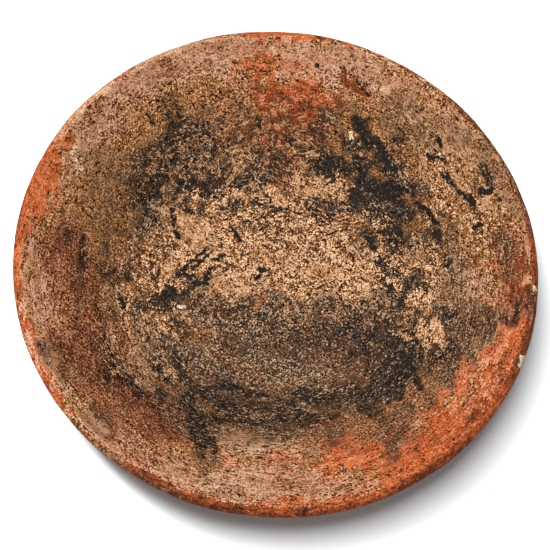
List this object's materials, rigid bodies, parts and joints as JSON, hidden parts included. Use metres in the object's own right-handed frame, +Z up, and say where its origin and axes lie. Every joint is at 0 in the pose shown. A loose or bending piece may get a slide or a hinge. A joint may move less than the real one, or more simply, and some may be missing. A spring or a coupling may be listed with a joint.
{
  "type": "terracotta bowl",
  "caption": "Wide, shallow, thin-walled terracotta bowl, hand-built from a clay pat and coils, with a flat standing face and a rounded lip, slightly out of round.",
  "frame": {"origin": "middle of the flat standing face under the bowl", "axes": "+Z up out of the bowl's mouth, +X along the rim's longer way across"},
  "size_m": [0.2998, 0.2908, 0.0539],
  "materials": {
    "crusted_floor_clay": "unglazed fired clay under a worn tan crust, matt",
    "smoked_wall_clay": "unglazed fired clay, brown and black with soot, wiped in rings, matt",
    "slipped_wall_clay": "orange slip under a brown film, wiped in rings, matt",
    "slipped_rim_clay": "orange slip, worn and stained, faint satin sheen"
  },
  "bodies": {
    "root": {"base_pat": "crusted_floor_clay", "wall_coil_1": "smoked_wall_clay", "wall_coil_2": "smoked_wall_clay", "wall_coil_3": "slipped_wall_clay", "wall_coil_4": "slipped_wall_clay", "rim_coil": "slipped_rim_clay"}
  },
  "joints": []
}
